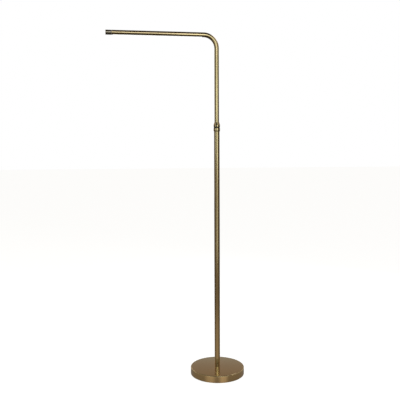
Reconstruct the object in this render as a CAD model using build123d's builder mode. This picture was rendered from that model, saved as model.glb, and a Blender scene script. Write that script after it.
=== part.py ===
from build123d import *
import os
from math import sqrt

# Adjustable arm floor lamp with a built-in light strip. A weighted round base carries a lower pole. An upper
# tube telescopes and swivels in the pole's collar, bends through a right angle and ends as a horizontal arm.
# The origin is on the floor at the pole's axis, +Z is up, the arm reaches along -X and the inlet faces +Y.
# Every dimension is in millimetres.

# Overall
ARM_HEIGHT = 1562.0  # centreline of the arm, at full height
ARM_REACH = 493.0  # from the pole's axis to the tip of the knob
BEND_RADIUS = 59.0  # centreline of the bend
TUBE_RADIUS = 10.5  # upper tube and arm
POLE_RADIUS = 12.7
WALL = 1.2  # wall of both tubes and of the base cover
TRAVEL_GAP = 1.0  # left between the guide bush's clip and the friction bush at full height

# Base
BASE_RADIUS = 125.0
BASE_HEIGHT = 33.0
RIM_RADIUS = 2.5
PAD_HEIGHT = 3.0
PAD_RADIUS = 120.0
COVER_FOOT = 2.0  # the cover ends this far above the floor
PLATE_THICKNESS = 1.2
PLATE_RADIUS = 122.8
WEIGHT_RADIUS = 123.4
WEIGHT_CHAMFER = 1.0
CORE_INNER = 26.0  # the casting is cored from below between these two radii
CORE_OUTER = 112.0
CORE_WEB = 9.0  # thickness left above the core
BOSS_RADIUS = 8.0
RIB_WIDTH = 6.0
SCREW_RADIUS = 2.0
SCREW_HEAD_RADIUS = 4.0
SCREW_HEAD_HEIGHT = 2.2
SCREW_HEAD_ROUNDING = 1.0
RECESS_LENGTH = 4.0
RECESS_WIDTH = 0.9
SCREW_LENGTH = 11.0
SCREW_CIRCLE = 85.0
SCREW_COUNT = 3
SCREW_START_ANGLE = 30.0

# Joint between the base and the pole
NIPPLE_RADIUS = 5.0
NIPPLE_BORE = 3.5
NIPPLE_CLEARANCE = 0.25  # radial, in the base
NIPPLE_FOOT = 16.0
NIPPLE_LENGTH = 43.0
NUT_POCKET_RADIUS = 17.0
NUT_POCKET_CEILING = 22.0
WASHER_RADIUS = 11.0
WASHER_THICKNESS = 1.5
NUT_ACROSS_FLATS = 17.0
NUT_THICKNESS = 4.0
INSERT_LENGTH = 32.0

# Collar, by height above the floor
COLLAR_RADIUS = 14.8
COLLAR_FOOT = 1131.0
COLLAR_TAPER = 4.5
COLLAR_LIP = 0.3  # thickness of the collar's lower edge
COLLAR_ROUNDING = 0.6
COLLAR_SLIT = 1.5  # the collar body is split in line with the front notch
POLE_TOP = 1140.0
GROOVE_FOOT = 1147.0
GROOVE_TOP = 1152.7
GROOVE_RADIUS = 13.6
RING_GAP = 0.3
RING_SHOULDER = 1161.0
RING_TOP = 1173.0
RING_LIP = 0.9  # from the tube's surface to the ring's upper edge
RING_ROUNDING = 0.6
COLLET_TOP = 1168.0
COLLET_RADIUS = 12.2
COLLET_TIP_RADIUS = 11.4
COLLET_SLITS = 4
SLIT_WIDTH = 1.4
NOTCH_COUNT = 3
NOTCH_FOOT_WIDTH = 6.2
NOTCH_TOP_WIDTH = 3.8
NOTCH_TOP = 1165.5
NOTCH_TURN = -17.0  # turn of the front notch about the pole's axis, towards the arm
BUSH_FOOT = 1105.0
RUNNING_GAP = 0.05  # radial clearance of a running fit

# Foot of the upper tube
TUBE_FOOT = 1060.0
CLIP_THICKNESS = 1.2
CLIP_DEPTH = 0.4
CLIP_RADIUS = 11.2
CLIP_SPLIT = 4.0
GUIDE_LENGTH = 32.0
GUIDE_CHAMFER = 0.4
END_FLOAT = 0.2
GROMMET_FLANGE = 1.5
GROMMET_PLUG = 8.0

# Light strip, by distance from the pole's axis
LIGHT_START = 66.0
SLOT_END = 462.0
TUBE_END = 466.0
DIMMER_BACK = 424.0
CHANNEL_START = 62.0
SLOT_WIDTH = 8.0
SLOT_GAP = 0.1
FLANGE_WIDTH = 11.0
FLANGE_THICKNESS = 1.0
FLANGE_TOP = -6.1  # below the arm's centreline
CHANNEL_FIT = 0.15  # radial clearance of the channel in the arm
TROUGH_WIDTH = 10.0
TROUGH_TOP = 1.6
GROOVE_WIDTH = 4.4
GROOVE_BED = 4.6
BOARD_WIDTH = 9.4
BOARD_THICKNESS = 1.0
CHIP_LENGTH = 3.5
CHIP_WIDTH = 2.8
CHIP_THICKNESS = 0.7
CHIP_PITCH = 10.0
CHIP_COUNT = 36

# Dimmer and knob
DIMMER_WIDTH = 10.0
DIMMER_TOP = 7.2
DIMMER_BOTTOM = -5.5
DIMMER_FRONT = 452.0
NECK_RADIUS = 4.5
NECK_END = 470.0
DIMMER_NUT_FLATS = 12.0
DIMMER_NUT_THICKNESS = 2.5
SHAFT_RADIUS = 2.95
SHAFT_START = 440.0
SHAFT_END = 486.0
KNOB_GAP = 0.5
KNOB_RECESS_RADIUS = 7.6
KNOB_RECESS_DEPTH = 5.0
KNOB_EDGE = 0.8
GRUB_RADIUS = 1.5
GRUB_LENGTH = 5.0
GRUB_PLACE = 478.0

# Inlet and leads
INLET_HEIGHT = 16.5
INLET_RADIUS = 5.5
INLET_FLANGE_RADIUS = 6.8
INLET_FLANGE = 1.2
INLET_CHAMFER = 0.4
INLET_DEPTH = 14.0
SOCKET_RADIUS = 3.2
SOCKET_DEPTH = 10.0
PIN_RADIUS = 1.05
PIN_ROOT = 1.0  # depth of the pin's seat below the socket's floor
PIN_ROUNDING = 0.5
INLET_NUT_FLATS = 14.0
INLET_NUT_THICKNESS = 2.5
INLET_POCKET_WIDTH = 22.0
INLET_POCKET_START = 84.0
INLET_POCKET_TOP = 26.5
LEAD_RADIUS = 1.7
LEAD_CHANNEL_WIDTH = 8.0
LEAD_CHANNEL_TOP = 10.5
LEAD_FLOOR = 6.7  # centre of the lead in the base's channel
LEAD_BEND = 8.5
LEAD_LEVEL_RUN = 10.0  # from the inlet to where the lead starts down
LEAD_DROP_RUN = 12.0  # along Y, over which it comes down to the channel
COIL_RADIUS = 7.0
COIL_FOOT = 600.0
COIL_GAP = 0.5

# Derived
TUBE_BORE = TUBE_RADIUS - WALL
POLE_BORE = POLE_RADIUS - WALL
WEIGHT_FOOT = PAD_HEIGHT + PLATE_THICKNESS
WEIGHT_TOP = BASE_HEIGHT - WALL
CORE_CEILING = WEIGHT_TOP - CORE_WEB
NIPPLE_HOLE = NIPPLE_RADIUS + NIPPLE_CLEARANCE
RUNNING_BORE = TUBE_RADIUS + RUNNING_GAP
CHANNEL_RADIUS = TUBE_BORE - CHANNEL_FIT
CLIP_TOP = BUSH_FOOT - TRAVEL_GAP
GUIDE_TOP = CLIP_TOP - CLIP_THICKNESS - END_FLOAT
GUIDE_FOOT = GUIDE_TOP - GUIDE_LENGTH
CLIP_FEET = [CLIP_TOP - CLIP_THICKNESS, GUIDE_FOOT - END_FLOAT - CLIP_THICKNESS]
LEAD_FOOT = TUBE_FOOT - GROMMET_FLANGE
LEAD_RISE = (GROOVE_BED + TUBE_BORE) / 2  # the lead lies this far above the arm's centreline
KNOB_START = TUBE_END + KNOB_GAP


def across_arm(distance):
    """The plane square to the arm, at a distance from the pole's axis. It faces the tip, with its Y up."""
    return Plane(origin=(-distance, 0, ARM_HEIGHT), x_dir=(0, -1, 0), z_dir=(-1, 0, 0))


def across_inlet(distance):
    """The plane square to the inlet's axis, at a distance behind the pole's axis. It faces outwards."""
    return Plane(origin=(0, distance, INLET_HEIGHT), x_dir=(-1, 0, 0), z_dir=(0, 1, 0))


os.makedirs("parts", exist_ok=True)

# ---------------------------------------------------------------- base

with BuildPart() as base_pad:
    with BuildSketch():
        Circle(PAD_RADIUS)
        with PolarLocations(SCREW_CIRCLE, SCREW_COUNT, start_angle=SCREW_START_ANGLE):
            Circle(SCREW_HEAD_RADIUS + 1, mode=Mode.SUBTRACT)
    extrude(amount=PAD_HEIGHT)
base_pad.part.label = "base_pad"
export_step(base_pad.part, "parts/base_pad.step")

with BuildPart() as bottom_plate:
    with BuildSketch(Plane.XY.offset(PAD_HEIGHT)):
        Circle(PLATE_RADIUS)
        with PolarLocations(SCREW_CIRCLE, SCREW_COUNT, start_angle=SCREW_START_ANGLE):
            Circle(SCREW_RADIUS, mode=Mode.SUBTRACT)
    extrude(amount=PLATE_THICKNESS)
bottom_plate.part.label = "bottom_plate"
export_step(bottom_plate.part, "parts/bottom_plate.step")

with BuildPart() as plate_screws:
    with BuildSketch(Plane.XY.offset(PAD_HEIGHT - SCREW_HEAD_HEIGHT)):
        with PolarLocations(SCREW_CIRCLE, SCREW_COUNT, start_angle=SCREW_START_ANGLE):
            Circle(SCREW_HEAD_RADIUS)
    extrude(amount=SCREW_HEAD_HEIGHT)
    fillet(plate_screws.edges().group_by(Axis.Z)[0], SCREW_HEAD_ROUNDING)
    with BuildSketch(Plane.XY.offset(PAD_HEIGHT)):
        with PolarLocations(SCREW_CIRCLE, SCREW_COUNT, start_angle=SCREW_START_ANGLE):
            Circle(SCREW_RADIUS)
    extrude(amount=SCREW_LENGTH)
    # Cross recess in each head
    with BuildSketch(Plane.XY.offset(PAD_HEIGHT - SCREW_HEAD_HEIGHT)):
        with PolarLocations(SCREW_CIRCLE, SCREW_COUNT, start_angle=SCREW_START_ANGLE):
            Rectangle(RECESS_LENGTH, RECESS_WIDTH)
            Rectangle(RECESS_WIDTH, RECESS_LENGTH)
    extrude(amount=SCREW_HEAD_HEIGHT / 2, mode=Mode.SUBTRACT)
plate_screws.part.label = "plate_screws"
export_step(plate_screws.part, "parts/plate_screws.step")

with BuildPart() as base_weight:
    with BuildSketch(Plane.XY.offset(WEIGHT_FOOT)):
        Circle(WEIGHT_RADIUS)
    extrude(amount=WEIGHT_TOP - WEIGHT_FOOT)
    chamfer(base_weight.edges().group_by(Axis.Z)[-1], WEIGHT_CHAMFER)
    # Clearance hole for the nipple, and the pocket for its nut
    with BuildSketch(Plane.XY.offset(WEIGHT_FOOT)):
        Circle(NIPPLE_HOLE)
    extrude(amount=WEIGHT_TOP - WEIGHT_FOOT, mode=Mode.SUBTRACT)
    with BuildSketch(Plane.XY.offset(WEIGHT_FOOT)):
        Circle(NUT_POCKET_RADIUS)
    extrude(amount=NUT_POCKET_CEILING - WEIGHT_FOOT, mode=Mode.SUBTRACT)
    # Cored underside, with a rib and a boss for each of the plate's screws
    with BuildSketch(Plane.XY.offset(WEIGHT_FOOT)):
        Circle(CORE_OUTER)
        Circle(CORE_INNER, mode=Mode.SUBTRACT)
        with PolarLocations(SCREW_CIRCLE, SCREW_COUNT, start_angle=SCREW_START_ANGLE):
            Circle(BOSS_RADIUS, mode=Mode.SUBTRACT)
            Rectangle(2 * SCREW_CIRCLE, RIB_WIDTH, mode=Mode.SUBTRACT)
    extrude(amount=CORE_CEILING - WEIGHT_FOOT, mode=Mode.SUBTRACT)
    # Channel for the lead, from the nut's pocket to the inlet's pocket
    with BuildSketch(Plane.XY.offset(WEIGHT_FOOT)):
        with Locations((0, INLET_POCKET_START / 2)):
            Rectangle(LEAD_CHANNEL_WIDTH, INLET_POCKET_START)
    extrude(amount=LEAD_CHANNEL_TOP - WEIGHT_FOOT, mode=Mode.SUBTRACT)
    # Pocket for the inlet, open at the rim
    with BuildSketch(Plane.XY.offset(WEIGHT_FOOT)):
        with Locations((0, (INLET_POCKET_START + BASE_RADIUS) / 2)):
            Rectangle(INLET_POCKET_WIDTH, BASE_RADIUS - INLET_POCKET_START)
    extrude(amount=INLET_POCKET_TOP - WEIGHT_FOOT, mode=Mode.SUBTRACT)
    # Tapped holes for the plate's screws
    with BuildSketch(Plane.XY.offset(WEIGHT_FOOT)):
        with PolarLocations(SCREW_CIRCLE, SCREW_COUNT, start_angle=SCREW_START_ANGLE):
            Circle(SCREW_RADIUS)
    extrude(amount=SCREW_LENGTH, mode=Mode.SUBTRACT)
base_weight.part.label = "base_weight"
export_step(base_weight.part, "parts/base_weight.step")

with BuildPart() as base_cover:
    with BuildSketch(Plane.XY.offset(COVER_FOOT)):
        Circle(BASE_RADIUS)
    extrude(amount=BASE_HEIGHT - COVER_FOOT)
    fillet(base_cover.edges().group_by(Axis.Z)[-1], RIM_RADIUS)
    with BuildSketch(Plane.XY.offset(COVER_FOOT)):
        Circle(BASE_RADIUS - WALL)
    extrude(amount=WEIGHT_TOP - COVER_FOOT, mode=Mode.SUBTRACT)
    with BuildSketch(Plane.XY.offset(WEIGHT_TOP)):
        Circle(NIPPLE_HOLE)
    extrude(amount=WALL, mode=Mode.SUBTRACT)
    with BuildSketch(across_inlet(BASE_RADIUS - INLET_DEPTH)):
        Circle(INLET_RADIUS)
    extrude(amount=INLET_DEPTH, mode=Mode.SUBTRACT)
base_cover.part.label = "base_cover"
export_step(base_cover.part, "parts/base_cover.step")

with BuildPart() as threaded_nipple:
    with BuildSketch(Plane.XY.offset(NIPPLE_FOOT)):
        Circle(NIPPLE_RADIUS)
        Circle(NIPPLE_BORE, mode=Mode.SUBTRACT)
    extrude(amount=NIPPLE_LENGTH)
threaded_nipple.part.label = "threaded_nipple"
export_step(threaded_nipple.part, "parts/threaded_nipple.step")

with BuildPart() as nipple_washer:
    with BuildSketch(Plane.XY.offset(NUT_POCKET_CEILING - WASHER_THICKNESS)):
        Circle(WASHER_RADIUS)
        Circle(NIPPLE_HOLE, mode=Mode.SUBTRACT)
    extrude(amount=WASHER_THICKNESS)
nipple_washer.part.label = "nipple_washer"
export_step(nipple_washer.part, "parts/nipple_washer.step")

with BuildPart() as nipple_nut:
    with BuildSketch(Plane.XY.offset(NUT_POCKET_CEILING - WASHER_THICKNESS - NUT_THICKNESS)):
        RegularPolygon(NUT_ACROSS_FLATS / 2, 6, major_radius=False)
        Circle(NIPPLE_RADIUS, mode=Mode.SUBTRACT)
    extrude(amount=NUT_THICKNESS)
nipple_nut.part.label = "nipple_nut"
export_step(nipple_nut.part, "parts/nipple_nut.step")

# ---------------------------------------------------------------- pole

with BuildPart() as pole_insert:
    with BuildSketch(Plane.XY.offset(BASE_HEIGHT)):
        Circle(POLE_BORE)
        Circle(NIPPLE_BORE, mode=Mode.SUBTRACT)
    extrude(amount=INSERT_LENGTH)
    with BuildSketch(Plane.XY.offset(BASE_HEIGHT)):
        Circle(NIPPLE_RADIUS)
    extrude(amount=NIPPLE_FOOT + NIPPLE_LENGTH - BASE_HEIGHT, mode=Mode.SUBTRACT)
pole_insert.part.label = "pole_insert"
export_step(pole_insert.part, "parts/pole_insert.step")

with BuildPart() as lower_pole:
    with BuildSketch(Plane.XY.offset(BASE_HEIGHT)):
        Circle(POLE_RADIUS)
        Circle(POLE_BORE, mode=Mode.SUBTRACT)
    extrude(amount=POLE_TOP - BASE_HEIGHT)
lower_pole.part.label = "lower_pole"
export_step(lower_pole.part, "parts/lower_pole.step")

# ---------------------------------------------------------------- collar

with BuildPart() as collar_body:
    with BuildSketch(Plane.XZ):
        with BuildLine():
            Polyline(
                (POLE_RADIUS, COLLAR_FOOT),
                (POLE_RADIUS + COLLAR_LIP, COLLAR_FOOT),
                (COLLAR_RADIUS, COLLAR_FOOT + COLLAR_TAPER),
                (COLLAR_RADIUS, GROOVE_FOOT),
                (POLE_BORE, GROOVE_FOOT),
                (POLE_BORE, POLE_TOP),
                (POLE_RADIUS, POLE_TOP),
                close=True,
            )
        make_face()
    revolve(axis=Axis.Z)
    fillet(collar_body.edges().filter_by(GeomType.CIRCLE).sort_by(SortBy.RADIUS)[-2:], COLLAR_ROUNDING)
    with BuildSketch(Plane.XZ.rotated((0, 0, NOTCH_TURN))):
        with Locations((0, COLLAR_FOOT)):
            Rectangle(COLLAR_SLIT, GROOVE_FOOT - COLLAR_FOOT, align=(Align.CENTER, Align.MIN))
    extrude(amount=COLLAR_RADIUS + 1, mode=Mode.SUBTRACT)
collar_body.part.label = "collar_body"
export_step(collar_body.part, "parts/collar_body.step")

with BuildPart() as friction_bush:
    with BuildSketch(Plane.XZ):
        with BuildLine():
            Polyline(
                (RUNNING_BORE, BUSH_FOOT),
                (POLE_BORE, BUSH_FOOT),
                (POLE_BORE, GROOVE_FOOT),
                (GROOVE_RADIUS, GROOVE_FOOT),
                (GROOVE_RADIUS, GROOVE_TOP),
                (COLLET_RADIUS, GROOVE_TOP),
                (COLLET_TIP_RADIUS, COLLET_TOP),
                (RUNNING_BORE, COLLET_TOP),
                close=True,
            )
        make_face()
    revolve(axis=Axis.Z)
    # Slits that let the collet's fingers close on the tube
    with BuildSketch(Plane.XY.offset(GROOVE_TOP)):
        with PolarLocations(POLE_BORE, COLLET_SLITS):
            Rectangle(2 * (COLLET_RADIUS - TUBE_RADIUS), SLIT_WIDTH)
    extrude(amount=COLLET_TOP - GROOVE_TOP, mode=Mode.SUBTRACT)
friction_bush.part.label = "friction_bush"
export_step(friction_bush.part, "parts/friction_bush.step")

with BuildPart() as lock_ring:
    with BuildSketch(Plane.XZ):
        with BuildLine():
            Polyline(
                (COLLET_RADIUS + RING_GAP, GROOVE_TOP + RING_GAP),
                (COLLAR_RADIUS, GROOVE_TOP + RING_GAP),
                (COLLAR_RADIUS, RING_SHOULDER),
                (TUBE_RADIUS + RING_LIP, RING_TOP),
                (TUBE_RADIUS + RING_GAP, RING_TOP),
                (TUBE_RADIUS + RING_GAP, COLLET_TOP + RING_GAP),
                (COLLET_TIP_RADIUS + RING_GAP, COLLET_TOP + RING_GAP),
                close=True,
            )
        make_face()
    revolve(axis=Axis.Z)
    outer_edges = lock_ring.edges().filter_by(GeomType.CIRCLE).sort_by(SortBy.RADIUS)[-2:]
    fillet(outer_edges, RING_ROUNDING)
    # Wedge-shaped notches, open at the ring's lower edge, through which the collet shows
    for notch in range(NOTCH_COUNT):
        turn = NOTCH_TURN + 360 / NOTCH_COUNT * notch
        with BuildSketch(Plane.XZ.rotated((0, 0, turn))):
            with BuildLine():
                Polyline(
                    (-NOTCH_FOOT_WIDTH / 2, GROOVE_TOP),
                    (-NOTCH_TOP_WIDTH / 2, NOTCH_TOP - NOTCH_TOP_WIDTH / 2),
                )
                ThreePointArc(
                    (-NOTCH_TOP_WIDTH / 2, NOTCH_TOP - NOTCH_TOP_WIDTH / 2),
                    (0, NOTCH_TOP),
                    (NOTCH_TOP_WIDTH / 2, NOTCH_TOP - NOTCH_TOP_WIDTH / 2),
                )
                Polyline(
                    (NOTCH_TOP_WIDTH / 2, NOTCH_TOP - NOTCH_TOP_WIDTH / 2),
                    (NOTCH_FOOT_WIDTH / 2, GROOVE_TOP),
                    (-NOTCH_FOOT_WIDTH / 2, GROOVE_TOP),
                )
            make_face()
        extrude(amount=COLLAR_RADIUS + 1, mode=Mode.SUBTRACT)
lock_ring.part.label = "lock_ring"
export_step(lock_ring.part, "parts/lock_ring.step")

# ---------------------------------------------------------------- upper tube and its foot

with BuildPart() as guide_bush:
    with BuildSketch(Plane.XY.offset(GUIDE_FOOT)):
        Circle(POLE_BORE - RUNNING_GAP)
        Circle(RUNNING_BORE, mode=Mode.SUBTRACT)
    extrude(amount=GUIDE_LENGTH)
    chamfer(guide_bush.edges().filter_by(GeomType.CIRCLE).group_by(SortBy.RADIUS)[-1], GUIDE_CHAMFER)
guide_bush.part.label = "guide_bush"
export_step(guide_bush.part, "parts/guide_bush.step")

with BuildPart() as arm_tube:
    with BuildLine():
        tube_path = FilletPolyline(
            (0, 0, TUBE_FOOT),
            (0, 0, ARM_HEIGHT),
            (-TUBE_END, 0, ARM_HEIGHT),
            radius=BEND_RADIUS,
        )
    with BuildSketch(Plane.XY.offset(TUBE_FOOT)):
        Circle(TUBE_RADIUS)
        Circle(TUBE_BORE, mode=Mode.SUBTRACT)
    sweep(path=tube_path)
    # Grooves for the clips that hold the guide bush
    for clip_foot in CLIP_FEET:
        with BuildSketch(Plane.XY.offset(clip_foot)):
            Circle(TUBE_RADIUS + 1)
            Circle(TUBE_RADIUS - CLIP_DEPTH, mode=Mode.SUBTRACT)
        extrude(amount=CLIP_THICKNESS, mode=Mode.SUBTRACT)
    # Slot for the diffuser along the arm's underside
    with BuildSketch(Plane.XY.offset(ARM_HEIGHT)):
        with Locations((-(LIGHT_START + SLOT_END) / 2, 0)):
            Rectangle(SLOT_END - LIGHT_START, SLOT_WIDTH)
    extrude(amount=-TUBE_RADIUS, mode=Mode.SUBTRACT)
arm_tube.part.label = "arm_tube"
export_step(arm_tube.part, "parts/arm_tube.step")

with BuildPart() as bush_clips:
    for clip_foot in CLIP_FEET:
        with BuildSketch(Plane.XY.offset(clip_foot)):
            Circle(CLIP_RADIUS)
            Circle(TUBE_RADIUS - CLIP_DEPTH, mode=Mode.SUBTRACT)
            with Locations((0, CLIP_RADIUS)):
                Rectangle(CLIP_SPLIT, CLIP_RADIUS, mode=Mode.SUBTRACT)
        extrude(amount=CLIP_THICKNESS)
bush_clips.part.label = "bush_clips"
export_step(bush_clips.part, "parts/bush_clips.step")

with BuildPart() as tube_grommet:
    with BuildSketch(Plane.XY.offset(LEAD_FOOT)):
        Circle(TUBE_RADIUS)
        Circle(LEAD_RADIUS, mode=Mode.SUBTRACT)
    extrude(amount=GROMMET_FLANGE)
    with BuildSketch(Plane.XY.offset(TUBE_FOOT)):
        Circle(TUBE_BORE)
        Circle(LEAD_RADIUS, mode=Mode.SUBTRACT)
    extrude(amount=GROMMET_PLUG)
tube_grommet.part.label = "tube_grommet"
export_step(tube_grommet.part, "parts/tube_grommet.step")

# ---------------------------------------------------------------- light strip

with BuildPart() as led_channel:
    with BuildSketch(across_arm(CHANNEL_START)):
        Circle(CHANNEL_RADIUS)
        with Locations((0, TROUGH_TOP)):
            Rectangle(TROUGH_WIDTH, 2 * CHANNEL_RADIUS, align=(Align.CENTER, Align.MAX), mode=Mode.SUBTRACT)
        with Locations((0, FLANGE_TOP)):
            Rectangle(
                2 * CHANNEL_RADIUS,
                CHANNEL_RADIUS,
                align=(Align.CENTER, Align.MAX),
                mode=Mode.SUBTRACT,
            )
        with Locations((0, GROOVE_BED)):
            Rectangle(GROOVE_WIDTH, CHANNEL_RADIUS, align=(Align.CENTER, Align.MIN), mode=Mode.SUBTRACT)
    extrude(amount=DIMMER_BACK - CHANNEL_START)
led_channel.part.label = "led_channel"
export_step(led_channel.part, "parts/led_channel.step")

with BuildPart() as led_board:
    with BuildSketch(across_arm(CHANNEL_START)):
        with Locations((0, TROUGH_TOP)):
            Rectangle(BOARD_WIDTH, BOARD_THICKNESS, align=(Align.CENTER, Align.MAX))
    extrude(amount=DIMMER_BACK - CHANNEL_START)
led_board.part.label = "led_board"
export_step(led_board.part, "parts/led_board.step")

with BuildPart() as led_chips:
    with BuildSketch(Plane.XY.offset(ARM_HEIGHT + TROUGH_TOP - BOARD_THICKNESS)):
        with Locations((-(CHANNEL_START + DIMMER_BACK) / 2, 0)):
            with GridLocations(CHIP_PITCH, 1, CHIP_COUNT, 1):
                Rectangle(CHIP_LENGTH, CHIP_WIDTH)
    extrude(amount=-CHIP_THICKNESS)
led_chips.part.label = "led_chips"
export_step(led_chips.part, "parts/led_chips.step")

with BuildPart() as diffuser:
    with BuildSketch(across_arm(LIGHT_START + SLOT_GAP)):
        Circle(TUBE_RADIUS - SLOT_GAP)
        with Locations((0, FLANGE_TOP - FLANGE_THICKNESS)):
            Rectangle(
                SLOT_WIDTH - 2 * SLOT_GAP,
                TUBE_RADIUS,
                align=(Align.CENTER, Align.MAX),
                mode=Mode.INTERSECT,
            )
        with Locations((0, FLANGE_TOP)):
            Rectangle(FLANGE_WIDTH, FLANGE_THICKNESS, align=(Align.CENTER, Align.MAX))
    extrude(amount=SLOT_END - LIGHT_START - 2 * SLOT_GAP)
diffuser.part.label = "diffuser"
export_step(diffuser.part, "parts/diffuser.step")

# ---------------------------------------------------------------- dimmer and knob

with BuildPart() as tip_bush:
    with BuildSketch(across_arm(DIMMER_FRONT)):
        Circle(TUBE_BORE)
        Circle(NECK_RADIUS, mode=Mode.SUBTRACT)
        with Locations((0, FLANGE_TOP)):
            Rectangle(2 * TUBE_BORE, TUBE_BORE, align=(Align.CENTER, Align.MAX), mode=Mode.SUBTRACT)
    extrude(amount=TUBE_END - DIMMER_FRONT)
tip_bush.part.label = "tip_bush"
export_step(tip_bush.part, "parts/tip_bush.step")

with BuildPart() as dimmer_body:
    with BuildSketch(across_arm(DIMMER_BACK)):
        with Locations((0, DIMMER_BOTTOM)):
            Rectangle(DIMMER_WIDTH, DIMMER_TOP - DIMMER_BOTTOM, align=(Align.CENTER, Align.MIN))
    extrude(amount=DIMMER_FRONT - DIMMER_BACK)
    with BuildSketch(across_arm(DIMMER_FRONT)):
        Circle(NECK_RADIUS)
    extrude(amount=NECK_END - DIMMER_FRONT)
    with BuildSketch(across_arm(SHAFT_START - END_FLOAT)):
        Circle(SHAFT_RADIUS + RUNNING_GAP)
    extrude(amount=NECK_END - SHAFT_START + END_FLOAT, mode=Mode.SUBTRACT)
dimmer_body.part.label = "dimmer_body"
export_step(dimmer_body.part, "parts/dimmer_body.step")

with BuildPart() as dimmer_nut:
    with BuildSketch(across_arm(TUBE_END)):
        RegularPolygon(DIMMER_NUT_FLATS / 2, 6, major_radius=False)
        Circle(NECK_RADIUS, mode=Mode.SUBTRACT)
    extrude(amount=DIMMER_NUT_THICKNESS)
dimmer_nut.part.label = "dimmer_nut"
export_step(dimmer_nut.part, "parts/dimmer_nut.step")

with BuildPart() as dimmer_shaft:
    with BuildSketch(across_arm(SHAFT_START)):
        Circle(SHAFT_RADIUS)
    extrude(amount=SHAFT_END - SHAFT_START)
dimmer_shaft.part.label = "dimmer_shaft"
export_step(dimmer_shaft.part, "parts/dimmer_shaft.step")

with BuildPart() as dimmer_knob:
    with BuildSketch(across_arm(KNOB_START)):
        Circle(TUBE_RADIUS)
    extrude(amount=ARM_REACH - KNOB_START)
    fillet(dimmer_knob.edges().sort_by(Axis.X)[0], KNOB_EDGE)
    chamfer(dimmer_knob.edges().sort_by(Axis.X)[-1], KNOB_EDGE / 2)
    with BuildSketch(across_arm(KNOB_START)):
        Circle(KNOB_RECESS_RADIUS)
    extrude(amount=KNOB_RECESS_DEPTH, mode=Mode.SUBTRACT)
    with BuildSketch(across_arm(KNOB_START)):
        Circle(SHAFT_RADIUS)
    extrude(amount=SHAFT_END - KNOB_START, mode=Mode.SUBTRACT)
    # Tapped hole for the grub screw, from below
    with BuildSketch(Plane.XY.offset(ARM_HEIGHT)):
        with Locations((-GRUB_PLACE, 0)):
            Circle(GRUB_RADIUS)
    extrude(amount=-TUBE_RADIUS, mode=Mode.SUBTRACT)
dimmer_knob.part.label = "dimmer_knob"
export_step(dimmer_knob.part, "parts/dimmer_knob.step")

with BuildPart() as knob_screw:
    with BuildSketch(Plane.XY.offset(ARM_HEIGHT - SHAFT_RADIUS)):
        with Locations((-GRUB_PLACE, 0)):
            Circle(GRUB_RADIUS)
    extrude(amount=-GRUB_LENGTH)
    with BuildSketch(Plane.XY.offset(ARM_HEIGHT - SHAFT_RADIUS - GRUB_LENGTH)):
        with Locations((-GRUB_PLACE, 0)):
            RegularPolygon(GRUB_RADIUS / 2, 6, major_radius=False)
    extrude(amount=GRUB_LENGTH / 2, mode=Mode.SUBTRACT)
knob_screw.part.label = "knob_screw"
export_step(knob_screw.part, "parts/knob_screw.step")

# ---------------------------------------------------------------- inlet and leads

with BuildPart() as inlet_jack:
    with BuildSketch(across_inlet(BASE_RADIUS)):
        Circle(INLET_FLANGE_RADIUS)
    extrude(amount=INLET_FLANGE)
    chamfer(inlet_jack.edges().sort_by(Axis.Y)[-1], INLET_CHAMFER)
    with BuildSketch(across_inlet(BASE_RADIUS - INLET_DEPTH)):
        Circle(INLET_RADIUS)
    extrude(amount=INLET_DEPTH)
    with BuildSketch(across_inlet(BASE_RADIUS + INLET_FLANGE)):
        Circle(SOCKET_RADIUS)
    extrude(amount=-SOCKET_DEPTH, mode=Mode.SUBTRACT)
    with BuildSketch(across_inlet(BASE_RADIUS + INLET_FLANGE - SOCKET_DEPTH)):
        Circle(PIN_RADIUS)
    extrude(amount=-PIN_ROOT, mode=Mode.SUBTRACT)
inlet_jack.part.label = "inlet_jack"
export_step(inlet_jack.part, "parts/inlet_jack.step")

with BuildPart() as inlet_pin:
    with BuildSketch(across_inlet(BASE_RADIUS + INLET_FLANGE - SOCKET_DEPTH - PIN_ROOT)):
        Circle(PIN_RADIUS)
    extrude(amount=SOCKET_DEPTH)
    fillet(inlet_pin.edges().sort_by(Axis.Y)[-1], PIN_ROUNDING)
inlet_pin.part.label = "inlet_pin"
export_step(inlet_pin.part, "parts/inlet_pin.step")

# The nut's outer face stands where the cover's curved wall reaches the nut's corners
nut_corner = INLET_NUT_FLATS / sqrt(3)
nut_face = sqrt((BASE_RADIUS - WALL) ** 2 - nut_corner**2)
with BuildPart() as inlet_nut:
    with BuildSketch(across_inlet(nut_face)):
        RegularPolygon(INLET_NUT_FLATS / 2, 6, major_radius=False)
        Circle(INLET_RADIUS, mode=Mode.SUBTRACT)
    extrude(amount=-INLET_NUT_THICKNESS)
inlet_nut.part.label = "inlet_nut"
export_step(inlet_nut.part, "parts/inlet_nut.step")

inlet_back = BASE_RADIUS - INLET_DEPTH
with BuildPart() as base_lead:
    with BuildLine():
        base_lead_path = FilletPolyline(
            (0, inlet_back, INLET_HEIGHT),
            (0, inlet_back - LEAD_LEVEL_RUN, INLET_HEIGHT),
            (0, inlet_back - LEAD_LEVEL_RUN - LEAD_DROP_RUN, LEAD_FLOOR),
            (0, 0, LEAD_FLOOR),
            (0, 0, COIL_FOOT),
            radius=LEAD_BEND,
        )
    with BuildSketch(Plane.XZ.offset(-inlet_back)):
        with Locations((0, INLET_HEIGHT)):
            Circle(LEAD_RADIUS)
    sweep(path=base_lead_path)
base_lead.part.label = "base_lead"
export_step(base_lead.part, "parts/base_lead.step")

with BuildPart() as coiled_lead:
    with BuildSketch(Plane.XY.offset(COIL_FOOT)):
        Circle(COIL_RADIUS)
    extrude(amount=LEAD_FOOT - COIL_GAP - COIL_FOOT)
coiled_lead.part.label = "coiled_lead"
export_step(coiled_lead.part, "parts/coiled_lead.step")

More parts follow.
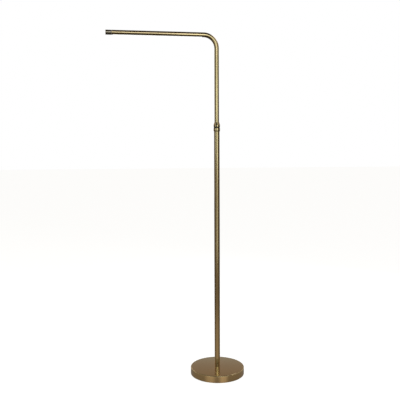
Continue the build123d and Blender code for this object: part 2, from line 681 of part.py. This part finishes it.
with BuildPart() as arm_lead:
    with BuildLine():
        arm_lead_path = FilletPolyline(
            (0, 0, LEAD_FOOT),
            (0, 0, ARM_HEIGHT + LEAD_RISE),
            (-DIMMER_BACK, 0, ARM_HEIGHT + LEAD_RISE),
            radius=BEND_RADIUS,
        )
    with BuildSketch(Plane.XY.offset(LEAD_FOOT)):
        Circle(LEAD_RADIUS)
    sweep(path=arm_lead_path)
arm_lead.part.label = "arm_lead"
export_step(arm_lead.part, "parts/arm_lead.step")

print("bends of the leads:", LEAD_BEND, "mm in the base and", BEND_RADIUS, "mm at the arm")
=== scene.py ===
from math import cos, pi, radians, sin

import bmesh
import bpy
from mathutils import Matrix, Vector


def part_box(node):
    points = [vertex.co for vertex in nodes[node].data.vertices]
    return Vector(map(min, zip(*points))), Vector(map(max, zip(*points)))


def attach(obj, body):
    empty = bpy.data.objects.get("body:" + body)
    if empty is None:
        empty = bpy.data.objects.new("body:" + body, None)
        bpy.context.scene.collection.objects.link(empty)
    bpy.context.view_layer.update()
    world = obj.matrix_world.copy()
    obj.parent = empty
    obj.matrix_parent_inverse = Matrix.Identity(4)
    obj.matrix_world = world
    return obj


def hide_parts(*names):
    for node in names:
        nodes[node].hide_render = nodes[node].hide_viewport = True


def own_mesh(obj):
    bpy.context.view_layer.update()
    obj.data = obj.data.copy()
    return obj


# Looks for the adjustable arm floor lamp: antique brass, black nylon and a lit diffuser strip, in a plain
# white studio. Everything is in metres, in the frame of the CAD model: origin on the floor at the pole's
# axis, +Z up, the arm along -X.

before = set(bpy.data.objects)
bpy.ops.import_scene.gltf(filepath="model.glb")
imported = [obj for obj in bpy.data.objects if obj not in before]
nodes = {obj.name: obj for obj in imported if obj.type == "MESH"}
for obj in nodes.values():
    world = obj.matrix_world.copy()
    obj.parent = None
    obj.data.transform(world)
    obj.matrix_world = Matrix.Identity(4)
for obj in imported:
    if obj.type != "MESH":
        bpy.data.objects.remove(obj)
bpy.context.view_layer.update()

# ---------------------------------------------------------------- places

TUBE_LOW, TUBE_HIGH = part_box("arm_tube")
COIL_LOW, COIL_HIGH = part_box("coiled_lead")
COVER_LOW, COVER_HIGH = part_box("base_cover")
INLET_LOW, INLET_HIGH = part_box("inlet_nut")
LEAD_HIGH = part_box("arm_lead")[1]
NIPPLE_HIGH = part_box("threaded_nipple")[1]
WEIGHT_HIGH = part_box("base_weight")[1]
TUBE_RADIUS = (TUBE_HIGH.y - TUBE_LOW.y) / 2
ARM_Z = TUBE_HIGH.z - TUBE_RADIUS
BEND_RADIUS = 0.059  # of the tube's centre line, where the pole turns into the arm
BEND_Z = ARM_Z - BEND_RADIUS

# ---------------------------------------------------------------- camera

CAMERA_TURN = radians(-10.43)  # round the lamp, from straight in front towards the arm's side
CAMERA_DISTANCE = 2.571
CAMERA_HEIGHT = 1.027
CAMERA_PITCH = radians(4.63)  # below level
CAMERA_AIM = radians(1.74)  # turned to the arm's side, which puts the pole right of the middle
CAMERA_ROLL = radians(-0.278)
CAMERA_LENS = 50.41  # millimetres, like the sensor
SENSOR_WIDTH = 36.0
VIEW_END = 200.0  # how far the camera sees


def make_camera():
    data = bpy.data.cameras.new("camera")
    data.lens = CAMERA_LENS
    data.sensor_width = SENSOR_WIDTH
    data.clip_end = VIEW_END
    camera = bpy.data.objects.new("camera", data)
    bpy.context.scene.collection.objects.link(camera)
    place = Vector((sin(CAMERA_TURN), -cos(CAMERA_TURN), 0)) * CAMERA_DISTANCE
    place.z = CAMERA_HEIGHT
    heading = Matrix.Rotation(CAMERA_TURN + CAMERA_AIM, 4, "Z")
    pitch = Matrix.Rotation(pi / 2 - CAMERA_PITCH, 4, "X")
    roll = Matrix.Rotation(CAMERA_ROLL, 4, "Z")
    camera.matrix_world = Matrix.Translation(place) @ heading @ pitch @ roll
    bpy.context.scene.camera = camera


# ---------------------------------------------------------------- node trees


AXIS_GAP = 0.0001  # keeps a division by the distance from the axis away from zero
EDGE_CONTRAST = 4.0
EDGE_SAMPLES = 4


class Nodes:
    """Short calls for building a node tree, of a material or of the world."""

    def __init__(self, owner):
        owner.use_nodes = True
        self.owner = owner
        self.tree = owner.node_tree
        self.shader = self.tree.nodes.get("Principled BSDF")

    def surface(self):
        """Clears the tree and returns its new output's surface socket."""
        self.tree.nodes.clear()
        is_world = isinstance(self.owner, bpy.types.World)
        kind = "ShaderNodeOutputWorld" if is_world else "ShaderNodeOutputMaterial"
        return self.add(kind).inputs["Surface"]

    def add(self, kind, **settings):
        node = self.tree.nodes.new(kind)
        for key, value in settings.items():
            setattr(node, key, value)
        return node

    def link(self, source, target):
        self.tree.links.new(source, target)

    def set(self, values):
        for socket, value in values.items():
            self.shader.inputs[socket].default_value = value

    def stretch(self, vector, scale):
        mapping = self.add("ShaderNodeMapping")
        mapping.inputs["Scale"].default_value = scale
        self.link(vector, mapping.inputs["Vector"])
        return mapping.outputs["Vector"]

    def own(self):
        """The object's own coordinates."""
        return self.add("ShaderNodeTexCoord").outputs["Object"]

    def place(self, scale):
        """The object's own coordinates, stretched by scale."""
        return self.stretch(self.own(), scale)

    def split(self, vector):
        parts = self.add("ShaderNodeSeparateXYZ")
        self.link(vector, parts.inputs["Vector"])
        return parts.outputs

    def join(self, *values):
        joined = self.add("ShaderNodeCombineXYZ")
        for value, socket in zip(values, joined.inputs):
            self.link(value, socket)
        return joined.outputs["Vector"]

    def tube_place(self):
        """Coordinates that follow the bent tube: X out from the bend's centre, Y sideways, Z along it."""
        x, y, z = self.split(self.own())
        beyond_x = self.math("MAXIMUM", self.math("ADD", x, BEND_RADIUS), 0.0)
        beyond_z = self.math("MAXIMUM", self.math("SUBTRACT", z, BEND_Z), 0.0)
        squares = self.math("ADD", self.math("POWER", beyond_x, 2.0), self.math("POWER", beyond_z, 2.0))
        outwards = self.math("SUBTRACT", self.math("SQRT", squares), BEND_RADIUS)
        turned = self.math("MULTIPLY", self.math("ARCTAN2", beyond_z, beyond_x), BEND_RADIUS)
        upright = self.math("MINIMUM", z, BEND_Z)
        level = self.math("MAXIMUM", self.math("SUBTRACT", -BEND_RADIUS, x), 0.0)
        along = self.math("ADD", self.math("ADD", upright, turned), level)
        return self.join(outwards, y, along)

    def round_place(self):
        """Coordinates for turned metal: X along the profile, Y and Z slowly round the axis, with no seam."""
        x, y, z = self.split(self.own())
        squares = self.math("ADD", self.math("POWER", x, 2.0), self.math("POWER", y, 2.0))
        out = self.math("MAXIMUM", self.math("SQRT", squares), AXIS_GAP)
        profile = self.math("ADD", out, z)
        return self.join(profile, self.math("DIVIDE", x, out), self.math("DIVIDE", y, out))

    def noise(self, vector, scale=1.0, detail=4.0, roughness=0.55):
        node = self.add("ShaderNodeTexNoise")
        node.inputs["Scale"].default_value = scale
        node.inputs["Detail"].default_value = detail
        node.inputs["Roughness"].default_value = roughness
        self.link(vector, node.inputs["Vector"])
        return node.outputs["Fac"]

    def ramp(self, value, low, high, start=0.3, end=0.7):
        """Maps value, from start to end, onto low to high. A noise lies mostly between 0.3 and 0.7."""
        node = self.add("ShaderNodeMapRange")
        node.inputs["From Min"].default_value = start
        node.inputs["From Max"].default_value = end
        node.inputs["To Min"].default_value = low
        node.inputs["To Max"].default_value = high
        self.link(value, node.inputs["Value"])
        return node.outputs["Result"]

    def steps(self, value, stops):
        """A colour that passes through stops, {place from 0 to 1: colour or brightness}, as value rises."""
        node = self.add("ShaderNodeValToRGB")
        elements = node.color_ramp.elements
        while len(elements) < len(stops):
            elements.new(1.0)
        for element, (place, colour) in zip(elements, stops.items()):
            element.position = place
            element.color = (*colour, 1) if isinstance(colour, tuple) else (colour, colour, colour, 1)
        self.link(value, node.inputs["Fac"])
        return node.outputs["Color"]

    def blend(self, value, first, second):
        """A colour between first and second by value."""
        node = self.add("ShaderNodeMix", data_type="RGBA")
        for socket, colour in ((node.inputs[6], first), (node.inputs[7], second)):
            if hasattr(colour, "is_linked"):
                self.link(colour, socket)
            else:
                socket.default_value = (*colour, 1)
        self.link(value, node.inputs[0])
        return node.outputs[2]

    def math(self, operation, first, second=None):
        node = self.add("ShaderNodeMath", operation=operation)
        for socket, value in ((node.inputs[0], first), (node.inputs[1], second)):
            if value is None:
                continue
            if hasattr(value, "is_linked"):
                self.link(value, socket)
            else:
                socket.default_value = value
        return node.outputs[0]

    def bump(self, height, distance, strength=1.0):
        node = self.add("ShaderNodeBump")
        node.inputs["Distance"].default_value = distance
        node.inputs["Strength"].default_value = strength
        self.link(height, node.inputs["Height"])
        self.link(node.outputs["Normal"], self.shader.inputs["Normal"])

    def worn_edges(self, radius):
        """Near 1 on sharp outer edges, 0 elsewhere, from the spread of the bevelled normal."""
        bevel = self.add("ShaderNodeBevel", samples=EDGE_SAMPLES)
        bevel.inputs["Radius"].default_value = radius
        geometry = self.add("ShaderNodeNewGeometry")
        dot = self.add("ShaderNodeVectorMath", operation="DOT_PRODUCT")
        self.link(bevel.outputs["Normal"], dot.inputs[0])
        self.link(geometry.outputs["Normal"], dot.inputs[1])
        inverse = self.math("SUBTRACT", 1.0, dot.outputs["Value"])
        return self.math("MULTIPLY", inverse, EDGE_CONTRAST)


# ---------------------------------------------------------------- studio


ROOM_BEHIND = {
    # sine of the height above the horizon: colour of the room there, behind the lamp
    0.00: (0.125, 0.110, 0.095),
    0.07: (0.17, 0.175, 0.155),
    0.20: (0.37, 0.405, 0.36),
    0.36: (0.36, 0.285, 0.23),
    0.44: (0.33, 0.26, 0.19),
    0.56: (0.13, 0.12, 0.10),
    0.85: (0.05, 0.05, 0.04),
    0.96: (0.04, 0.04, 0.03),
    0.99: (0.17, 0.15, 0.12),
}
ROOM_IN_FRONT = {
    # the same in front of the lamp, where the room behind the camera is darker
    0.00: (0.12, 0.105, 0.09),
    0.07: (0.16, 0.165, 0.145),
    0.20: (0.33, 0.36, 0.32),
    0.32: (0.10, 0.09, 0.08),
    0.55: (0.04, 0.04, 0.035),
    0.96: (0.03, 0.03, 0.025),
    0.99: (0.17, 0.15, 0.12),
}
FRONT_START = 0.3  # cosine of the angle from the camera's side where the room starts to darken
FRONT_END = 0.8  # and where it is darkest
# a pool of light painted on the floor, seen only in the metal's reflections
POOL_CENTRE = 0.07  # in front of the lamp
POOL_START = 0.12  # from the centre
POOL_END = 1.3
POOL_BRIGHT = 0.68
POOL_DIM = 0.28
POOL_STEEP = 0.2  # share of its brightness that is left when it is seen from above
POOL_COLOUR = (1.0, 0.88, 0.74)
POOL_BY_BEARING = {
    # turn round the lamp, as a share of a whole turn that starts behind it: brightness of the painted pool
    # there
    0.00: 0.30,
    0.24: 0.45,
    0.34: 0.46,
    0.385: 0.85,
    0.435: 0.92,
    0.49: 0.48,
    0.515: 0.55,
    0.555: 1.08,
    0.60: 0.95,
    0.635: 0.45,
    0.76: 0.45,
    1.00: 0.30,
}
FLOOR_SIZE = 40.0
FLOOR_GLOW = 0.88
FLOOR_GREY = 0.8


def make_world():
    """White behind everything for the camera. For reflections, a room with pale walls and a dark ceiling,
    darker in front of the lamp than behind it."""
    world = bpy.data.worlds.new("studio")
    bpy.context.scene.world = world
    n = Nodes(world)
    surface = n.surface()
    seen = n.add("ShaderNodeBackground")
    seen.inputs["Color"].default_value = (1, 1, 1, 1)
    x, y, height = n.split(n.add("ShaderNodeTexCoord").outputs["Generated"])
    across = n.math("MULTIPLY", x, sin(CAMERA_TURN))
    to_camera = n.math("SUBTRACT", across, n.math("MULTIPLY", y, cos(CAMERA_TURN)))
    in_front = n.ramp(to_camera, 0.0, 1.0, FRONT_START, FRONT_END)
    room = n.add("ShaderNodeBackground")
    walls = n.blend(in_front, n.steps(height, ROOM_BEHIND), n.steps(height, ROOM_IN_FRONT))
    n.link(walls, room.inputs["Color"])
    mix = n.add("ShaderNodeMixShader")
    n.link(n.add("ShaderNodeLightPath").outputs["Is Camera Ray"], mix.inputs["Fac"])
    n.link(room.outputs["Background"], mix.inputs[1])
    n.link(seen.outputs["Background"], mix.inputs[2])
    n.link(mix.outputs["Shader"], surface)


def painted_floor_pool(n):
    """A pool of light painted on the floor for the lamp's metal to mirror: brightest near the lamp, under
    the softboxes and at a low angle."""
    centre = n.add("ShaderNodeVectorMath", operation="SUBTRACT")
    n.link(n.own(), centre.inputs[0])
    centre.inputs[1].default_value = (sin(CAMERA_TURN) * POOL_CENTRE, -cos(CAMERA_TURN) * POOL_CENTRE, 0)
    place = centre.outputs["Vector"]
    away = n.add("ShaderNodeVectorMath", operation="LENGTH")
    n.link(place, away.inputs[0])
    near = n.ramp(away.outputs["Value"], POOL_BRIGHT, POOL_DIM, POOL_START, POOL_END)
    x, y, _ = n.split(place)
    bearing = n.math("ARCTAN2", x, n.math("MULTIPLY", y, -1.0))
    share = n.ramp(bearing, 0.0, 1.0, CAMERA_TURN - pi, CAMERA_TURN + pi)
    under = n.steps(share, POOL_BY_BEARING)
    slant = n.add("ShaderNodeLayerWeight")
    low_angle = n.ramp(slant.outputs["Facing"], POOL_STEEP, 1.0)
    return n.math("MULTIPLY", n.math("MULTIPLY", near, under), low_angle)


def make_floor():
    """A wide white floor. The lamp's metal mirrors a pale pool of light painted on it, which fades outwards.
    """
    mesh = bpy.data.meshes.new("floor")
    corners = [(x * FLOOR_SIZE, y * FLOOR_SIZE, 0) for x, y in ((-1, -1), (1, -1), (1, 1), (-1, 1))]
    mesh.from_pydata(corners, [], [(0, 1, 2, 3)])
    floor = bpy.data.objects.new("floor", mesh)
    bpy.context.scene.collection.objects.link(floor)
    n = Nodes(bpy.data.materials.new("floor"))
    surface = n.surface()
    glow = n.add("ShaderNodeEmission")
    glow.inputs["Strength"].default_value = FLOOR_GLOW
    matte = n.add("ShaderNodeBsdfDiffuse")
    matte.inputs["Color"].default_value = (FLOOR_GREY, FLOOR_GREY, FLOOR_GREY, 1)
    both = n.add("ShaderNodeAddShader")
    n.link(glow.outputs["Emission"], both.inputs[0])
    n.link(matte.outputs["BSDF"], both.inputs[1])
    # the painted pool of light, shown to glossy rays only
    painted_pool = n.add("ShaderNodeEmission")
    painted_pool.inputs["Color"].default_value = (*POOL_COLOUR, 1)
    n.link(painted_floor_pool(n), painted_pool.inputs["Strength"])
    mix = n.add("ShaderNodeMixShader")
    n.link(n.add("ShaderNodeLightPath").outputs["Is Glossy Ray"], mix.inputs["Fac"])
    n.link(both.outputs["Shader"], mix.inputs[1])
    n.link(painted_pool.outputs["Emission"], mix.inputs[2])
    n.link(mix.outputs["Shader"], surface)
    mesh.materials.append(n.owner)


SOFT_WHITE = (0.83, 1.0, 1.02)
COOL_WHITE = (0.95, 0.92, 1.25)
WHITE = (1.0, 1.0, 1.0)
SOFT_BOXES = {
    # name: bearing in degrees round the lamp from the camera's side, distance from the pole, lower edge,
    # upper edge, width, radiance, colour
    "key": (22, 2.6, 1.25, 1.75, 0.8, 1.5, SOFT_WHITE),
    "key_middle": (22, 2.6, 0.85, 1.25, 0.8, 2.2, SOFT_WHITE),
    "key_low": (22, 2.6, 0.05, 0.85, 0.8, 1.1, SOFT_WHITE),
    "fill": (-30, 2.6, 1.3, 1.75, 0.7, 1.2, SOFT_WHITE),
    "fill_middle": (-40, 2.6, 1.0, 1.3, 0.7, 1.8, SOFT_WHITE),
    "fill_low": (-30, 2.6, 0.05, 1.0, 0.7, 0.65, SOFT_WHITE),
    "front": (8, 2.7, 1.35, 2.5, 2.2, 1.3, SOFT_WHITE),
    "front_core": (8, 2.75, 0.95, 1.6, 1.1, 0.75, SOFT_WHITE),
    "front_top": (8, 2.75, 2.0, 2.5, 1.1, 2.0, COOL_WHITE),
    "front_high": (8, 2.7, 2.5, 3.6, 2.2, 0.1, SOFT_WHITE),
    "side_right": (45, 2.6, 2.3, 3.2, 1.3, 0.8, SOFT_WHITE),
    "side_left": (-50, 2.6, 2.3, 3.2, 1.3, 0.5, SOFT_WHITE),
    "side_back": (135, 2.6, 2.9, 5.2, 1.8, 1.7, WHITE),
    "back_right": (150, 2.8, 0.6, 2.6, 0.5, 0.8, WHITE),
    "back_left": (212, 2.8, 0.6, 2.6, 0.6, 1.0, WHITE),
}
GLARING = ("key", "key_middle", "fill", "fill_middle", "front")  # bright, at a height the base mirrors


def soft_box(name, bearing, distance, low, high, width, radiance, colour):
    """An upright softbox facing the pole, with its edges at the heights low and high."""
    turn = CAMERA_TURN + radians(bearing)
    data = bpy.data.lights.new(name, "AREA")
    data.shape = "RECTANGLE"
    data.size = width
    data.size_y = high - low
    data.energy = radiance * pi * width * (high - low)
    data.color = colour
    light = bpy.data.objects.new(name, data)
    bpy.context.scene.collection.objects.link(light)
    place = Vector((sin(turn) * distance, -cos(turn) * distance, (low + high) / 2))
    facing = Matrix.Rotation(turn, 4, "Z") @ Matrix.Rotation(pi / 2, 4, "X")
    light.matrix_world = Matrix.Translation(place) @ facing
    light.visible_camera = False


def make_lights():
    for name, box in SOFT_BOXES.items():
        soft_box(name, *box)


def shield(piece):
    """Keeps the glaring softboxes off a piece. A flat metal top mirrors them whole, and from behind it would
    look white."""
    group = bpy.data.collections.new("shielded")
    group.objects.link(piece)
    group.collection_objects[0].light_linking.link_state = "EXCLUDE"
    for name in GLARING:
        bpy.data.objects[name].light_linking.receiver_collection = group


# ---------------------------------------------------------------- materials


BRASS_DEEP = (0.480, 0.340, 0.155)
BRASS_PALE = (0.545, 0.390, 0.182)
# pale brass of worn edges, also painted round the cover's rim as its highlight
BRASS_WEAR_AND_HIGHLIGHT = (0.80, 0.61, 0.31)
KNOB_DEEP = (0.27, 0.215, 0.14)
KNOB_PALE = (0.36, 0.29, 0.20)
BRASS_SMOOTH = 0.14  # least roughness of the brushing
BRASS_ROUGH = 0.18  # most
BRUSH_DEPTH = 0.000006
MOTTLE_SCALE = (9, 9, 9)
MOTTLE_SHARE = 0.25  # share of the slow mottling in the colour, beside the brushing
WEAR_REACH = 0.0005
RIM_HIGHLIGHT_START = 0.0045  # how far short of the rim's corner the painted highlight starts, along the profile
RIM_HIGHLIGHT_END = 0.0017  # and where it is full


def antique_brass(name, lie, deep=BRASS_DEEP, pale=BRASS_PALE, rim=None):
    """Brushed antique brass under a satin lacquer. lie is how the brushing runs: "tube", "round" or "knob".
    rim is the radius plus the height of a turned part's rim, round which a paler band is painted as its
    highlight."""
    n = Nodes(bpy.data.materials.new(name))
    if lie == "tube":
        start = n.tube_place()
        grain = (900, 900, 7)
    elif lie == "round":
        start = n.round_place()
        grain = (1000, 3, 3)
    else:
        start = n.own()
        grain = (1300, 40, 40)
    brush = n.noise(n.stretch(start, grain), detail=6.0, roughness=0.65)
    mottle = n.noise(n.place(MOTTLE_SCALE), detail=3.0)
    fine = n.math("MULTIPLY", brush, 1 - MOTTLE_SHARE)
    tone = n.math("ADD", fine, n.math("MULTIPLY", mottle, MOTTLE_SHARE))
    colour = n.blend(n.ramp(tone, 0.0, 1.0), deep, pale)
    colour = n.blend(n.worn_edges(WEAR_REACH), colour, BRASS_WEAR_AND_HIGHLIGHT)
    # a paler band round the rim, painted as its highlight
    if rim:
        profile = n.split(start)[0]
        rim_highlight = n.ramp(profile, 0.0, 1.0, rim - RIM_HIGHLIGHT_START, rim - RIM_HIGHLIGHT_END)
        colour = n.blend(rim_highlight, colour, BRASS_WEAR_AND_HIGHLIGHT)
    n.link(colour, n.shader.inputs["Base Color"])
    n.link(n.ramp(brush, BRASS_SMOOTH, BRASS_ROUGH), n.shader.inputs["Roughness"])
    n.bump(brush, distance=BRUSH_DEPTH, strength=0.5)
    n.set({"Metallic": 1.0, "Coat Weight": 0.9, "Coat Roughness": 0.1})
    if lie == "round":
        tangent = n.add("ShaderNodeTangent", direction_type="RADIAL", axis="Z")
        n.link(tangent.outputs["Tangent"], n.shader.inputs["Tangent"])
        n.set({"Anisotropic": 0.6})
    return n.owner


GRAIN_DEPTH = 0.00002
GRAIN_SHADE = 0.15  # how much darker the colour gets in the grain
GRAIN_SMOOTH = 0.8  # least roughness, as a share of the metal's own
GRAIN_ROUGH = 1.25  # most


def satin_metal(name, colour, roughness, grain):
    """Plain machined or plated metal with a fine grain."""
    n = Nodes(bpy.data.materials.new(name))
    brush = n.noise(n.place(grain), detail=5.0)
    dark = tuple(c * (1 - GRAIN_SHADE) for c in colour)
    n.link(n.blend(n.ramp(brush, 0.0, 1.0), dark, colour), n.shader.inputs["Base Color"])
    n.link(n.ramp(brush, roughness * GRAIN_SMOOTH, roughness * GRAIN_ROUGH), n.shader.inputs["Roughness"])
    n.bump(brush, distance=GRAIN_DEPTH, strength=0.5)
    n.set({"Metallic": 1.0})
    return n.owner


CLOUD_SCALE = (25, 25, 25)
CLOUD_GAIN = 1.35  # how much brighter the pale clouds are
CLOUD_LIFT = 0.004
PEBBLE_SMOOTHER = 0.06
PEBBLE_ROUGHER = 0.08


def moulded(name, colour, roughness, grain_size, depth, specular):
    """Moulded plastic, rubber or foam with a fine pebbled surface and faint pale clouds."""
    n = Nodes(bpy.data.materials.new(name))
    pebble = n.noise(n.place((1 / grain_size,) * 3), detail=3.0)
    cloud = n.noise(n.place(CLOUD_SCALE), detail=3.0)
    pale = tuple(min(1.0, c * CLOUD_GAIN + CLOUD_LIFT) for c in colour)
    n.link(n.blend(n.ramp(cloud, 0.0, 1.0), colour, pale), n.shader.inputs["Base Color"])
    rough = n.ramp(pebble, roughness - PEBBLE_SMOOTHER, roughness + PEBBLE_ROUGHER)
    n.link(rough, n.shader.inputs["Roughness"])
    n.bump(pebble, distance=depth, strength=0.7)
    n.set({"Specular IOR Level": specular})
    return n.owner


FROST_SCALE = (1500, 1500, 1500)
FROST_DIM = (0.86, 0.86, 0.84)
FROST_PALE = (0.94, 0.94, 0.92)
FROST_SMOOTH = 0.45
FROST_ROUGH = 0.6
FROST_DEPTH = 0.00001
STRIP_COLOUR = (1.0, 0.97, 0.92, 1)
STRIP_GLOW = 0.35


def frosted(name):
    """Frosted acrylic, softly and evenly lit from behind."""
    n = Nodes(bpy.data.materials.new(name))
    frost = n.noise(n.place(FROST_SCALE), detail=3.0)
    n.link(n.blend(n.ramp(frost, 0.0, 1.0), FROST_DIM, FROST_PALE), n.shader.inputs["Base Color"])
    n.link(n.ramp(frost, FROST_SMOOTH, FROST_ROUGH), n.shader.inputs["Roughness"])
    n.bump(frost, distance=FROST_DEPTH, strength=0.4)
    n.set({"Emission Color": STRIP_COLOUR, "Emission Strength": STRIP_GLOW})
    return n.owner


MOULDINGS = {
    # material: colour, roughness, size of the grain, depth of the grain, specular level
    "lead_jacket": ((0.018, 0.018, 0.018), 0.45, 0.0008, 0.00003, 0.4),
    "black_nylon": ((0.007, 0.006, 0.005), 0.6, 0.0006, 0.00004, 0.15),
    "black_rubber": ((0.016, 0.016, 0.016), 0.7, 0.0005, 0.00006, 0.25),
    "pad_foam": ((0.022, 0.022, 0.023), 0.85, 0.0012, 0.00025, 0.15),
    "black_plastic": ((0.014, 0.014, 0.015), 0.32, 0.0007, 0.00003, 0.4),
    "cast_iron": ((0.030, 0.030, 0.032), 0.75, 0.0016, 0.00018, 0.4),
    "white_board": ((0.80, 0.80, 0.78), 0.4, 0.0009, 0.00002, 0.4),
    "phosphor": ((0.90, 0.70, 0.22), 0.3, 0.0004, 0.00002, 0.4),
}
PLAIN_METALS = {
    # material: colour, roughness, scale of the grain along X, Y and Z
    "zinc_steel": ((0.60, 0.61, 0.63), 0.32, (300, 300, 300)),
    "nickel": ((0.66, 0.64, 0.60), 0.2, (500, 500, 500)),
    "aluminium": ((0.78, 0.79, 0.80), 0.35, (12, 1600, 1600)),
}
WORN_BY = {
    # material: the CAD nodes that have it
    "brass_tube": ("lower_pole", "arm_tube"),
    "brass_turned": ("collar_body", "lock_ring"),
    "brass_knob": ("dimmer_knob",),
    "black_nylon": ("friction_bush", "guide_bush", "tip_bush"),
    "zinc_steel": ("plate_screws", "bottom_plate", "threaded_nipple", "nipple_washer", "nipple_nut",
                   "pole_insert", "bush_clips", "knob_screw"),
    "nickel": ("inlet_pin", "inlet_nut", "dimmer_nut", "dimmer_shaft"),
    "lead_jacket": ("base_lead", "arm_lead"),
    "black_plastic": ("inlet_jack", "dimmer_body"),
    "black_rubber": ("tube_grommet",),
    "pad_foam": ("base_pad",),
    "cast_iron": ("base_weight",),
    "aluminium": ("led_channel",),
    "white_board": ("led_board",),
    "phosphor": ("led_chips",),
    "frosted_acrylic": ("diffuser",),
}


def make_materials():
    """Every material of the CAD nodes, by name."""
    made = {
        "brass_tube": antique_brass("brass_tube", "tube"),
        "brass_turned": antique_brass("brass_turned", "round"),
        "brass_knob": antique_brass("brass_knob", "knob", deep=KNOB_DEEP, pale=KNOB_PALE),
        "frosted_acrylic": frosted("frosted_acrylic"),
    }
    for name, look in MOULDINGS.items():
        made[name] = moulded(name, *look)
    for name, look in PLAIN_METALS.items():
        made[name] = satin_metal(name, *look)
    return made


def use(node, material):
    """Gives a CAD node a material of this script's in every slot."""
    mesh = nodes[node].data
    if not mesh.materials:
        mesh.materials.append(material)
    for index in range(len(mesh.materials)):
        mesh.materials[index] = material


def dress_cad(materials):
    for name, wearers in WORN_BY.items():
        for node in wearers:
            use(node, materials[name])


# ---------------------------------------------------------------- pieces


def new_piece(name, mesh, material, slot, body, *replaced):
    """Puts a finished mesh on its body in place of CAD nodes."""
    piece = bpy.data.objects.new(name, mesh)
    bpy.context.scene.collection.objects.link(piece)
    mesh.materials.clear()
    mesh.materials.append(material)
    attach(piece, body)
    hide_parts(*replaced)
    return piece


def lathe(name, profile, segments):
    """A closed ring turned from a closed profile of (radius, height) round the pole's axis."""
    mesh = bpy.data.meshes.new(name)
    build = bmesh.new()
    rings = []
    for step in range(segments):
        turn = 2 * pi * step / segments
        rings.append([build.verts.new((r * cos(turn), r * sin(turn), z)) for r, z in profile])
    for ring, following in zip(rings, rings[1:] + rings[:1]):
        for index in range(len(profile)):
            after = (index + 1) % len(profile)
            build.faces.new((ring[index], following[index], following[after], ring[after]))
    build.normal_update()
    build.to_mesh(mesh)
    build.free()
    return mesh


def baked(thing):
    """The mesh of an object with its modifiers or bevel applied. The object itself goes."""
    bpy.context.view_layer.update()
    graph = bpy.context.evaluated_depsgraph_get()
    mesh = bpy.data.meshes.new_from_object(thing.evaluated_get(graph))
    bpy.data.objects.remove(thing)
    return mesh


COVER_RIM = 0.0025  # radius of the rounding round its top
COVER_RIM_STEPS = 10
COVER_SEGMENTS = 240
COVER_HOLE_GAP = 0.00025  # round the nipple
COVER_HOLE = NIPPLE_HIGH.x + COVER_HOLE_GAP
INLET_RADIUS = 0.0055
INLET_STEPS = 64
SHARP_ANGLE = radians(30)


def make_cover(material):
    """The spun cover of the base, with a rounding in steps fine enough for its highlight, and the power
    inlet's hole."""
    radius, top, foot, under = COVER_HIGH.x, COVER_HIGH.z, COVER_LOW.z, WEIGHT_HIGH.z
    wall = top - under
    profile = [(radius - wall, foot), (radius, foot)]
    for step in range(COVER_RIM_STEPS + 1):
        turn = pi / 2 * step / COVER_RIM_STEPS
        profile.append((radius - COVER_RIM * (1 - cos(turn)), top - COVER_RIM * (1 - sin(turn))))
    profile += [(COVER_HOLE, top), (COVER_HOLE, under), (radius - wall, under)]
    cover = bpy.data.objects.new("cover_blank", lathe("spun_cover", profile, COVER_SEGMENTS))
    bpy.context.scene.collection.objects.link(cover)
    drill = bpy.data.meshes.new("drill")
    build = bmesh.new()
    bmesh.ops.create_cone(build, cap_ends=True, segments=INLET_STEPS, radius1=INLET_RADIUS,
                          radius2=INLET_RADIUS, depth=4 * INLET_RADIUS)
    build.to_mesh(drill)
    build.free()
    cutter = bpy.data.objects.new("drill", drill)
    bpy.context.scene.collection.objects.link(cutter)
    inlet_height = (INLET_LOW.z + INLET_HIGH.z) / 2
    cutter.matrix_world = Matrix.Translation((0, radius, inlet_height)) @ Matrix.Rotation(pi / 2, 4, "X")
    cut = cover.modifiers.new("inlet", "BOOLEAN")
    cut.object = cutter
    cut.solver = "EXACT"
    mesh = baked(cover)
    bpy.data.objects.remove(cutter)
    mesh.shade_smooth()
    mesh.set_sharp_from_angle(angle=SHARP_ANGLE)
    return new_piece("spun_cover", mesh, material, "antique_brass", "stand", "base_cover")


COIL_TURNS = 26
COIL_STEPS = 24  # points in each turn
COIL_END = 1.5  # turns over which it opens from the straight lead
LEAD_ROUNDNESS = 4


def make_coil(material):
    """The coiled stretch of the lead inside the pole, which on the lamp closes up as the upper tube comes
    down. Here it is made at one length.
    """
    lead_radius = LEAD_HIGH.y
    coil_radius = COIL_HIGH.x - lead_radius
    height = COIL_HIGH.z - COIL_LOW.z
    curve = bpy.data.curves.new("coil", "CURVE")
    curve.dimensions = "3D"
    curve.bevel_depth = lead_radius
    curve.bevel_resolution = LEAD_ROUNDNESS
    curve.use_fill_caps = True
    spline = curve.splines.new("POLY")
    count = COIL_TURNS * COIL_STEPS
    spline.points.add(count)
    for index, point in enumerate(spline.points):
        turns = index / COIL_STEPS
        opened = min(1.0, turns / COIL_END, (COIL_TURNS - turns) / COIL_END)
        eased = opened * opened * (3 - 2 * opened)
        out = coil_radius * eased
        turn = 2 * pi * turns
        rise = COIL_LOW.z + height * index / count
        point.co = (out * cos(turn), out * sin(turn), rise, 1)
    coil = bpy.data.objects.new("coil_curve", curve)
    bpy.context.scene.collection.objects.link(coil)
    mesh = baked(coil)
    mesh.shade_smooth()
    piece = new_piece("lead_coil", mesh, material, "lead_jacket", "stand", "coiled_lead")
    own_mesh(piece)


# ---------------------------------------------------------------- the scene

bpy.context.scene.view_settings.view_transform = "Standard"
make_camera()
make_world()
make_floor()
make_lights()
looks = make_materials()
dress_cad(looks)
# the cover's rim gets a painted highlight
cover_brass = antique_brass("brass_cover", "round", rim=COVER_HIGH.x + COVER_HIGH.z)
shield(make_cover(cover_brass))
make_coil(looks["lead_jacket"])
